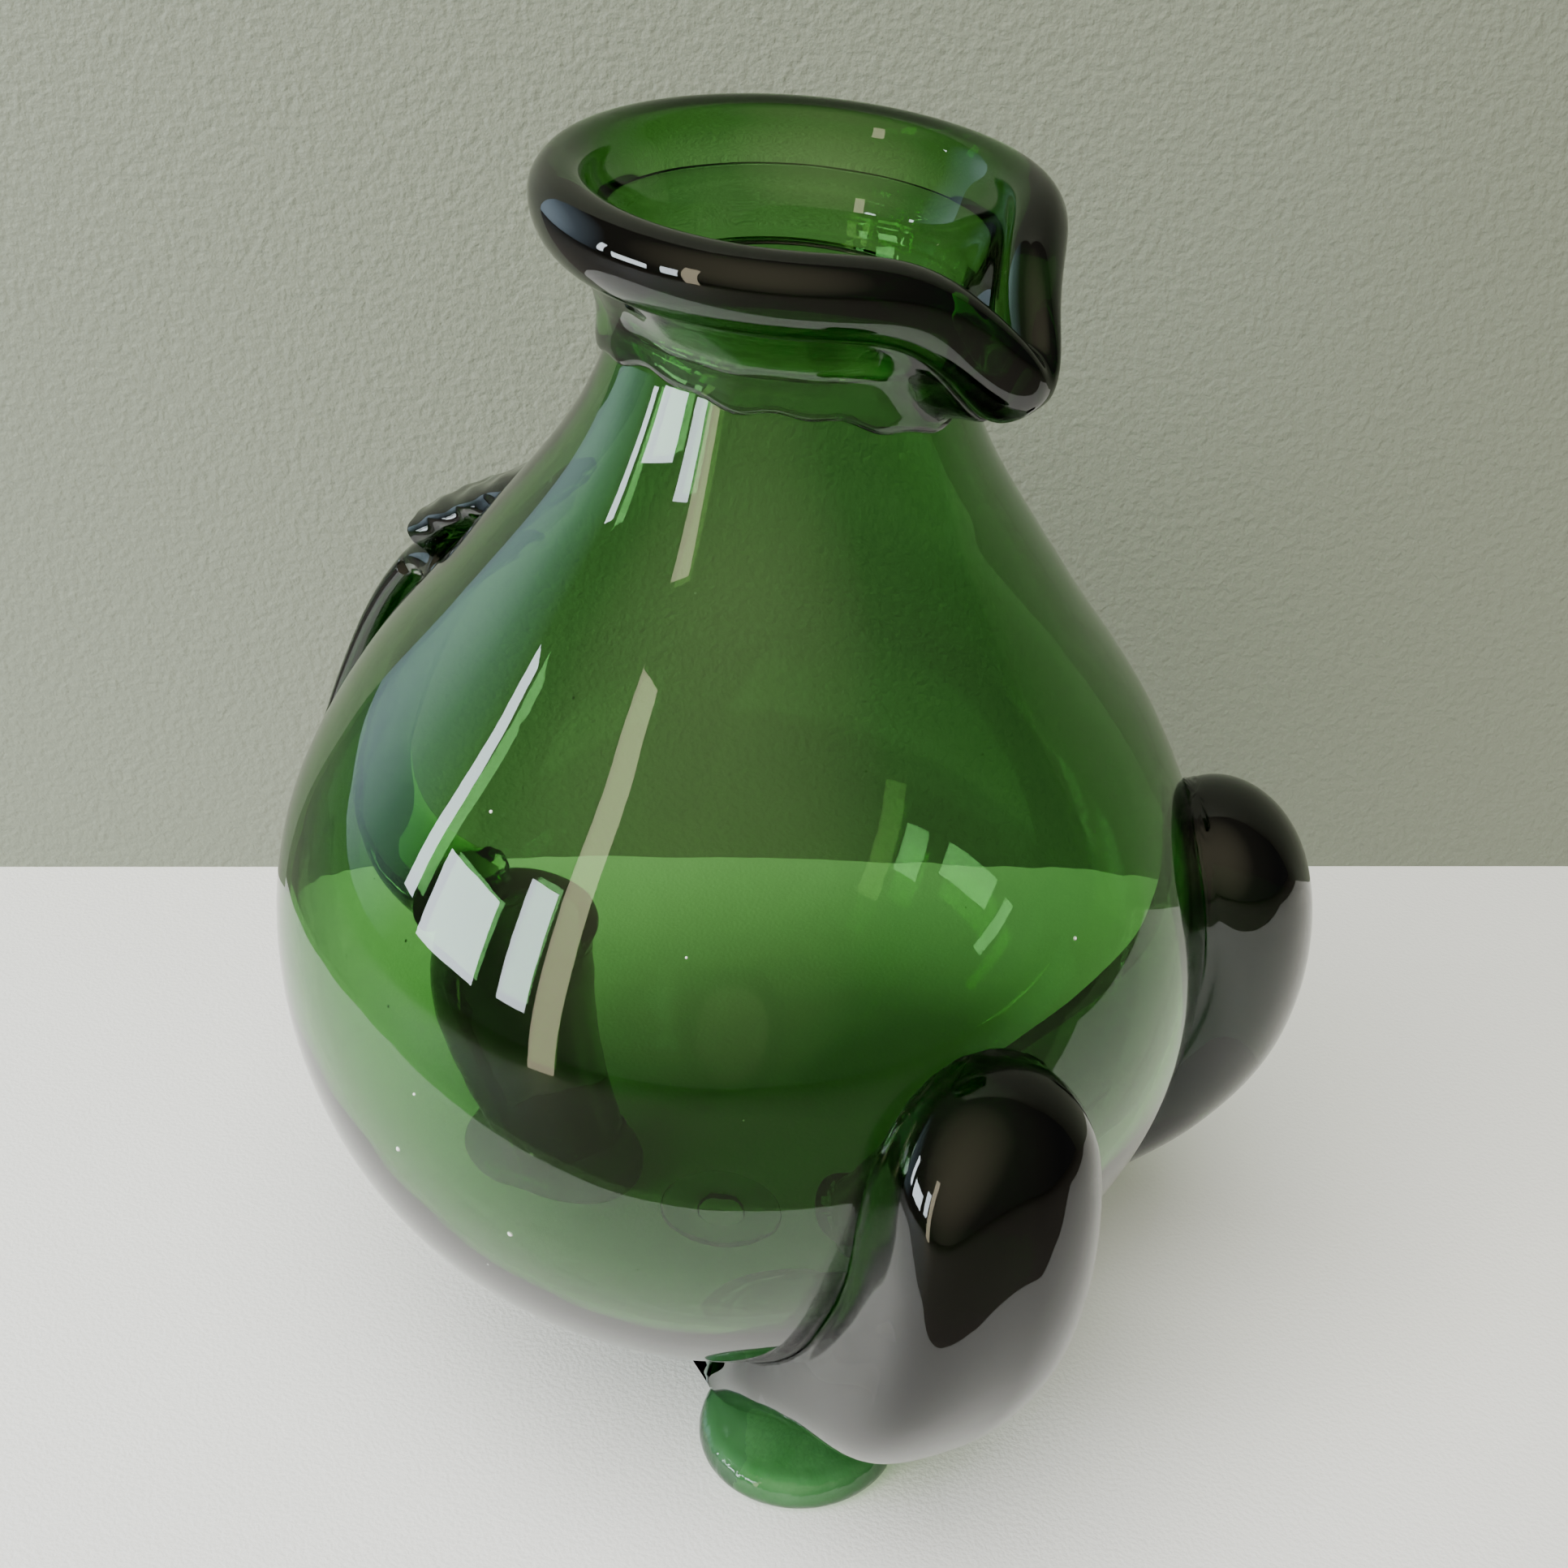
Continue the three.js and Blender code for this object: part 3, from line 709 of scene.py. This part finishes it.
# Handle: a strap from under the thumb leaf to the wall above the rear leg. The paths run down at the back,
# as shares of the way up the wall and of the strap's reach or the leaf's thickness off it.
strap = {"width": 24, "thickness": 8, "reach": 22.9, "rings": 150, "around": 44, "roundness": 0.8,
         "spread": 0.35, "spreadWidth": 0.6, "upperSpread": 0.15, "lowerSpread": 0.8,
         "flangeWidth": 2.5, "flangeHeight": 3.5}
eye = {"radius": 1.7, "pathShare": 0.15, "drillLength": 60}
leaf = {"width": 30, "thickness": 12.8, "rings": 70, "around": 56, "roundness": 0.9, "toolMarks": 0.35,
        "headShare": 0.3, "tipShare": 0.12, "flangeWidth": 2.0, "flangeHeight": 3.0}
strapPath = [(0.66, -0.06), (0.64, 0.23), (0.615, 0.32), (0.58, 0.38), (0.539, 0.47),
             (0.492, 0.68), (0.448, 0.97), (0.412, 1), (0.381, 0.64), (0.348, -0.14)]
leafPath = [(0.758, -0.12), (0.724, 0.03), (0.692, 0.29), (0.667, 0.52), (0.653, 0.58)]


def handleLine(path, scale, steps):
    points = []
    for share, distance in path:
        r, z = offWall(share, distance * scale)
        points.append((-r, 0, z))
    return centripetal(points, steps)


def handleRows(centre, halfThickness, halfWidth, around, roundness):
    # rings across the handle, ellipses where the roundness is 1 and squarer below
    along = unit(np.gradient(centre, axis=0))
    side = np.array([0.0, 1.0, 0.0])
    out = unit(np.cross(along, side[None]))
    turn = np.linspace(0, 2 * math.pi, around, endpoint=False)
    wide = np.sign(np.sin(turn)) * np.abs(np.sin(turn)) ** roundness
    thick = np.sign(np.cos(turn)) * np.abs(np.cos(turn)) ** roundness
    return (centre[:, None] + out[:, None] * halfThickness[:, None, None] * thick[None, :, None]
            - side * halfWidth[:, None, None] * wide[None, :, None])


def fixModifiers(piece):
    # the piece's mesh becomes what its modifiers make of it
    piece.data = bpy.data.meshes.new_from_object(piece.evaluated_get(bpy.context.evaluated_depsgraph_get()))
    piece.modifiers.clear()
    piece.data.shade_smooth()


def drillEye(piece):
    # the small hole through the fold at the strap's upper end
    place = standing(handleLine(strapPath, strap["reach"], [eye["pathShare"]]))[0] / 1000
    bpy.ops.mesh.primitive_cylinder_add(
        radius=eye["radius"] / 1000, depth=eye["drillLength"] / 1000, vertices=32,
        location=place, rotation=(math.pi / 2, 0, 0))
    drill = bpy.context.object
    hole = piece.modifiers.new("foldEye", "BOOLEAN")
    hole.operation = "DIFFERENCE"
    hole.object = drill
    hole.solver = "EXACT"
    fixModifiers(piece)
    bpy.data.objects.remove(drill)


def makeStrap():
    steps = np.linspace(0, 1, strap["rings"])
    centre = handleLine(strapPath, strap["reach"], steps)
    ends = smooth(strap["lowerSpread"], 1, steps) + smooth(strap["upperSpread"], 0, steps)
    spreading = strap["spread"] * ends
    halfThickness = strap["thickness"] / 2 * (1 + spreading)
    halfWidth = strap["width"] / 2 * (1 + strap["spreadWidth"] * spreading)
    rows = handleRows(centre, halfThickness, halfWidth, strap["around"], strap["roundness"])
    rows = ontoWall(rows, centre, strap["flangeWidth"], strap["flangeHeight"])
    points, faces = cappedRows(rows)
    piece = meshPiece("handleStrap", standing(points), faces, thickGlass, "handle_strap")
    drillEye(piece)


def makeLeaf():
    steps = np.linspace(0, 1, leaf["rings"])
    centre = handleLine(leafPath, leaf["thickness"], steps)
    ends = roundedEnd(steps, leaf["headShare"]) * roundedEnd(1 - steps, leaf["tipShare"])
    # it grows thicker and broader on its way down
    halfThickness = (0.2 + 0.3 * steps) * leaf["thickness"] * ends
    halfWidth = (0.37 + 0.13 * steps) * leaf["width"] * ends
    rows = handleRows(centre, halfThickness, halfWidth, leaf["around"], leaf["roundness"])
    rows = ontoWall(rows, centre, leaf["flangeWidth"], leaf["flangeHeight"])
    marks = np.sin(rows[..., 2] * 1.1 + rows[..., 1] * 0.35) * np.cos(rows[..., 1] * 0.5)
    outward = unit(rows - centre[:, None])
    rows = rows + outward * (leaf["toolMarks"] * (marks * ends[:, None] - 1))[..., None]
    points, faces = cappedRows(rows)
    meshPiece("thumbLeaf", standing(points), faces, thickGlass, "thumb_leaf")


makeStrap()
makeLeaf()
print("handle and thumb leaf set")

# Pontil scar: a broken ring of glass under the base
pontil = {"radius": 13.5, "chips": 0.12, "around": 120, "steps": 32}
# Its section, as shares of the radius, heights over the middle of the base and shares of the chips
pontilSection = [(0.42, 0.6, 0), (0.56, -0.1, 0.2), (0.68, -0.4, 1), (0.8, -0.5, 1), (0.92, -0.3, 1),
                 (1.05, 0.2, 0.2), (1.14, 0.9, 0), (0.76, 1.1, 0)]


def makePontil():
    base = wallLine[0][1]
    degrees = np.arange(pontil["around"]) * 360 / pontil["around"]
    turn = np.radians(degrees)
    chips = pontil["chips"] * (0.5 + 0.5 * np.sin(11 * turn + 2 * np.sin(3 * turn)))
    section = [(share * pontil["radius"], base + up, chip) for share, up, chip in pontilSection]
    line = splinePoints(section, pontil["steps"], True)
    rows = [polar(r, degrees, z + chip * chips) for r, z, chip in line]
    points = standing(np.concatenate(rows))
    faces = gridFaces(len(rows), pontil["around"], True)
    meshPiece("pontilScar", points, faces, bodyGlass, "pontil_scar")


makePontil()
print("pontil scar ground")

# Seeds: small bubbles left in the wall of the body, scattered, and the few larger ones of the photograph.
# The scattered ones have radii in m and are put on a shell in the wall, between two shares of its way up.
seeds = {"density": 330, "smallest": 0.00012, "largest": 0.0004, "seed": 7}
shell = {"from": 0.2, "to": 0.9, "rows": 60, "around": 96}
# Angle round the jug, height and width in mm
largeSeeds = [(-93.8, -2.6, 1.1), (-78.2, -9.5, 1.3), (-93, 66.6, 0.7), (-9.5, 49.2, 0.9),
              (-61.2, 55.4, 0.5), (-82.6, -25.3, 0.5), (-91.1, 14.5, 0.6)]
seedGlass = {"clear": 0.75, "index": 1.3, "roughness": 0.08, "grain": 900,
             "dark": (0.45, 0.62, 0.42), "pale": (0.85, 0.9, 0.85)}


def seedMaterial():
    material, nodes, link, shader = newMaterial("seedGlass")
    shader.inputs["Transmission Weight"].default_value = seedGlass["clear"]
    shader.inputs["IOR"].default_value = seedGlass["index"]
    shader.inputs["Roughness"].default_value = seedGlass["roughness"]
    place = nodes.new("ShaderNodeTexCoord")
    cloud = nodes.new("ShaderNodeTexNoise")
    cloud.inputs["Scale"].default_value = seedGlass["grain"]
    link(place.outputs["Object"], cloud.inputs["Vector"])
    colour = mixColours(nodes, link, cloud.outputs["Fac"], seedGlass["dark"], seedGlass["pale"])
    link(colour, shader.inputs["Base Color"])
    return material


def seedGroup(material):
    group = bpy.data.node_groups.new("scatteredSeeds", "GeometryNodeTree")
    face = group.interface
    face.new_socket("Geometry", in_out="INPUT", socket_type="NodeSocketGeometry")
    for name in ("Density", "Smallest", "Largest"):
        face.new_socket(name, in_out="INPUT", socket_type="NodeSocketFloat")
    face.new_socket("Seed", in_out="INPUT", socket_type="NodeSocketInt")
    face.new_socket("Geometry", in_out="OUTPUT", socket_type="NodeSocketGeometry")
    nodes, link = group.nodes, group.links.new
    enter, leave = nodes.new("NodeGroupInput"), nodes.new("NodeGroupOutput")
    scatter = nodes.new("GeometryNodeDistributePointsOnFaces")
    ball = nodes.new("GeometryNodeMeshIcoSphere")
    ball.inputs["Radius"].default_value = 1
    ball.inputs["Subdivisions"].default_value = 2
    size = nodes.new("FunctionNodeRandomValue")
    put = nodes.new("GeometryNodeInstanceOnPoints")
    real = nodes.new("GeometryNodeRealizeInstances")
    paint = nodes.new("GeometryNodeSetMaterial")
    paint.inputs["Material"].default_value = material
    link(enter.outputs["Geometry"], scatter.inputs["Mesh"])
    link(enter.outputs["Density"], scatter.inputs["Density"])
    link(enter.outputs["Seed"], scatter.inputs["Seed"])
    link(enter.outputs["Smallest"], size.inputs[2])
    link(enter.outputs["Largest"], size.inputs[3])
    link(enter.outputs["Seed"], size.inputs["Seed"])
    link(scatter.outputs["Points"], put.inputs["Points"])
    link(ball.outputs["Mesh"], put.inputs["Instance"])
    link(size.outputs[1], put.inputs["Scale"])
    link(put.outputs["Instances"], real.inputs["Geometry"])
    link(real.outputs["Geometry"], paint.inputs["Geometry"])
    link(paint.outputs["Geometry"], leave.inputs["Geometry"])
    return group


def makeSeeds():
    degrees = np.arange(shell["around"]) * 360 / shell["around"]
    rows = []
    for share in np.linspace(shell["from"], shell["to"], shell["rows"]):
        r, z = offWall(share, -0.5 * jug["wall"])
        rows.append(polar(r, degrees, z))
    points = standing(np.concatenate(rows)) / 1000
    mesh = bpy.data.meshes.new("wallSeeds")
    mesh.from_pydata(points.tolist(), [], gridFaces(len(rows), shell["around"]))
    piece = addObject("wallSeeds", mesh)
    scatter = piece.modifiers.new("scatteredSeeds", "NODES")
    scatter.node_group = seedGroup(seedMaterial())
    for item in scatter.node_group.interface.items_tree:
        if item.in_out == "INPUT" and item.name.lower() in seeds:
            scatter[item.identifier] = seeds[item.name.lower()]
    fixModifiers(piece)
    shape = bmesh.new()
    shape.from_mesh(piece.data)
    for angle, height, width in largeSeeds:
        share = nearWall(np.array([wallRadius(height)]), np.array([height]))[0][0]
        r, z = offWall(share, -0.4 * width - 0.3)
        place = Matrix.Translation(Vector(standing(polar(r, angle, z)) / 1000))
        bmesh.ops.create_icosphere(shape, subdivisions=3, radius=0.0005 * width, matrix=place)
    shape.to_mesh(piece.data)
    shape.free()
    piece.data.shade_smooth()
    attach(piece, "root")


makeSeeds()
print("seeds set in the wall")

# Camera at the photograph's place, heading and tilt. Its offset is from the middle of the belly, in mm.
camera = {"offset": (254.3, -322.3, 285.9), "heading": (-0.602, 0.799), "tilt": 31.5,
          "lens": 52.17, "sensor": 36}
ahead = Vector((*camera["heading"], 0)).normalized()
across = Vector((ahead.y, -ahead.x, 0))


def makeCamera():
    data = bpy.data.cameras.new("photoView")
    data.lens = camera["lens"]
    data.sensor_width = camera["sensor"]
    data.sensor_fit = "HORIZONTAL"
    view = addObject("photoView", data)
    tilt = math.radians(camera["tilt"])
    look = ahead * math.cos(tilt) + Vector((0, 0, -math.sin(tilt)))
    view.location = (Vector(camera["offset"]) + Vector((axisX, 0, jug["bellyHeight"]))) / 1000
    view.rotation_euler = look.to_track_quat("-Z", "Y").to_euler()
    bpy.context.scene.camera = view


makeCamera()

# Table, wall and soft light. Distances are in m from under the belly, along the camera's heading and across.
studio = {
    "wallBehind": 0.1875, "wallLeft": -0.27, "wallRight": 1.6, "wallTop": 1.596,
    "sheetSink": -0.0002, "groundLevel": -0.004, "groundReach": 4, "boxesLevel": 0.13,
    "sheetColour": (0.88, 0.885, 0.875), "groundColour": (0.17, 0.155, 0.135),
    "wallColour": (0.189, 0.21, 0.165),
}
# Outlines of the two pale sheets that lie edge to edge on the table, as places along and across
sheetEdge = 0.0008
leftSheet = [(0.21, -0.26), (0.19, -0.31), (0.147, -0.372), (0.07, -0.432), (-0.031, -0.444),
             (-0.107, -0.405), (-0.171, -0.311), (-0.21, -0.22), (-0.226, -0.14), (-0.229, -0.068),
             (-0.226, sheetEdge), (0.21, sheetEdge)]
rightSheet = [(0.21, sheetEdge), (-0.226, sheetEdge), (-0.216, 0.06), (-0.2, 0.12), (-0.185, 0.7),
              (0.21, 0.75)]
bellySpot = Vector((axisX / 1000, 0, 0))


def plainMaterial(name, colour, roughness, grain, strength, seeThroughBack=False):
    material, nodes, link, shader = newMaterial(name)
    shader.inputs["Base Color"].default_value = (*colour, 1)
    shader.inputs["Roughness"].default_value = roughness
    place = nodes.new("ShaderNodeTexCoord")
    texture = nodes.new("ShaderNodeTexNoise")
    texture.inputs["Scale"].default_value = grain
    texture.inputs["Detail"].default_value = 3
    link(place.outputs["Object"], texture.inputs["Vector"])
    addBump(nodes, link, texture.outputs["Fac"], strength, shader)
    if seeThroughBack:
        side = nodes.new("ShaderNodeNewGeometry")
        clear = nodes.new("ShaderNodeBsdfTransparent")
        mixSurfaces(nodes, link, side.outputs["Backfacing"], shader.outputs["BSDF"], clear.outputs["BSDF"])
    return material


def spot(along, sideways, height):
    return bellySpot + ahead * along + across * sideways + Vector((0, 0, height))


def stageSheet(name, corners, material):
    # a flat sheet of the studio, its corners as places along, across and up
    mesh = bpy.data.meshes.new(name)
    mesh.from_pydata([spot(*corner) for corner in corners], [], [range(len(corners))])
    mesh.materials.append(material)
    addObject(name, mesh)


def makeStudio():
    paper = plainMaterial("palePaper", studio["sheetColour"], roughness=0.6, grain=900, strength=0.25)
    ground = plainMaterial("plainGround", studio["groundColour"], roughness=0.6, grain=60, strength=0.1)
    paint = plainMaterial("wallPaint", studio["wallColour"], roughness=0.55, grain=420, strength=0.9,
                          seeThroughBack=True)
    floor, reach = studio["groundLevel"], studio["groundReach"]
    stageSheet("leftSheet", [(*corner, studio["sheetSink"]) for corner in leftSheet], paper)
    stageSheet("rightSheet", [(*corner, 0) for corner in rightSheet], paper)
    square = [(-reach, -reach, floor), (-reach, reach, floor), (reach, reach, floor), (reach, -reach, floor)]
    stageSheet("ground", square, ground)
    behind, left, right = studio["wallBehind"], studio["wallLeft"], studio["wallRight"]
    wall = [(behind, left, floor), (behind, right, floor), (behind, right, studio["wallTop"]),
            (behind, left, studio["wallTop"])]
    stageSheet("backWall", wall, paint)


makeStudio()

skyLight = (0.82, 0.92, 1.0)
sunLight = (1.0, 0.88, 0.62)
fillLight = (1.0, 0.98, 0.95)
# Azimuth and elevation from the belly in degrees, distance and size in m, power in W
softBoxes = [
    {"name": "skyWindow", "azimuth": -123, "elevation": 11, "distance": 1.3,
     "size": (0.4, 0.28), "power": 8, "colour": skyLight},
    {"name": "skySliver", "azimuth": -138, "elevation": 17, "distance": 1.3,
     "size": (0.08, 0.44), "power": 2.4, "colour": skyLight},
    {"name": "secondPane", "azimuth": -104, "elevation": 15, "distance": 1.3,
     "size": (0.17, 0.42), "power": 4.5, "colour": skyLight},
    {"name": "warmBeam", "azimuth": -95, "elevation": 13, "distance": 1.3,
     "size": (0.15, 1.1), "power": 3.2, "colour": sunLight},
    {"name": "topFill", "azimuth": -75, "elevation": 60, "distance": 1.6,
     "size": (1.4, 1.4), "power": 54, "colour": fillLight, "mirrored": False},
]


def direction(azimuth, elevation):
    turn, rise = math.radians(azimuth), math.radians(elevation)
    return math.cos(turn) * math.cos(rise), math.sin(turn) * math.cos(rise), math.sin(rise)


def softBox(name, azimuth, elevation, distance, size, power, colour, mirrored=True):
    # a rectangle of light that faces the belly, which the glass mirrors or not
    data = bpy.data.lights.new(name, "AREA")
    data.shape = "RECTANGLE"
    data.size, data.size_y = size
    data.energy = power
    data.color = colour
    light = addObject(name, data)
    light.visible_glossy = mirrored
    light.visible_transmission = mirrored
    way = Vector(direction(azimuth, elevation))
    light.location = spot(0, 0, studio["boxesLevel"]) + way * distance
    light.rotation_euler = (-way).to_track_quat("-Z", "Y").to_euler()


for box in softBoxes:
    softBox(**box)

# The room is dim, warm high up on the camera's side and cool at the jug's left. Each tone stands with the
# cosine of its angle from the middle of the warm or cool part.
warmRoom = {"azimuth": -68, "elevation": 44,
            "tones": [(0, (0.08, 0.08, 0.075)), (0.62, (0.2, 0.195, 0.15)), (1, (1.0, 0.93, 0.62))]}
coolRoom = {"azimuth": -174, "elevation": 9,
            "tones": [(0.82, (0, 0, 0)), (0.95, (0.6, 0.82, 1.0)), (1, (1.3, 1.7, 2.0))]}


def roomLight():
    world = bpy.data.worlds.new("room")
    world.use_nodes = True
    nodes, link = world.node_tree.nodes, world.node_tree.links.new
    way = nodes.new("ShaderNodeTexCoord")

    def lobe(azimuth, elevation, tones):
        facing = nodes.new("ShaderNodeVectorMath")
        facing.operation = "DOT_PRODUCT"
        facing.inputs[1].default_value = direction(azimuth, elevation)
        ramp = nodes.new("ShaderNodeValToRGB")
        stops = ramp.color_ramp.elements
        stops.new(0.5)
        for stop, (position, colour) in zip(stops, tones):
            stop.position, stop.color = position, (*colour, 1)
        link(way.outputs["Generated"], facing.inputs[0])
        link(facing.outputs["Value"], ramp.inputs["Fac"])
        return ramp.outputs["Color"]

    both = nodes.new("ShaderNodeVectorMath")
    link(lobe(**warmRoom), both.inputs[0])
    link(lobe(**coolRoom), both.inputs[1])
    link(both.outputs["Vector"], nodes["Background"].inputs["Color"])
    bpy.context.scene.world = world


roomLight()
print("studio lit")
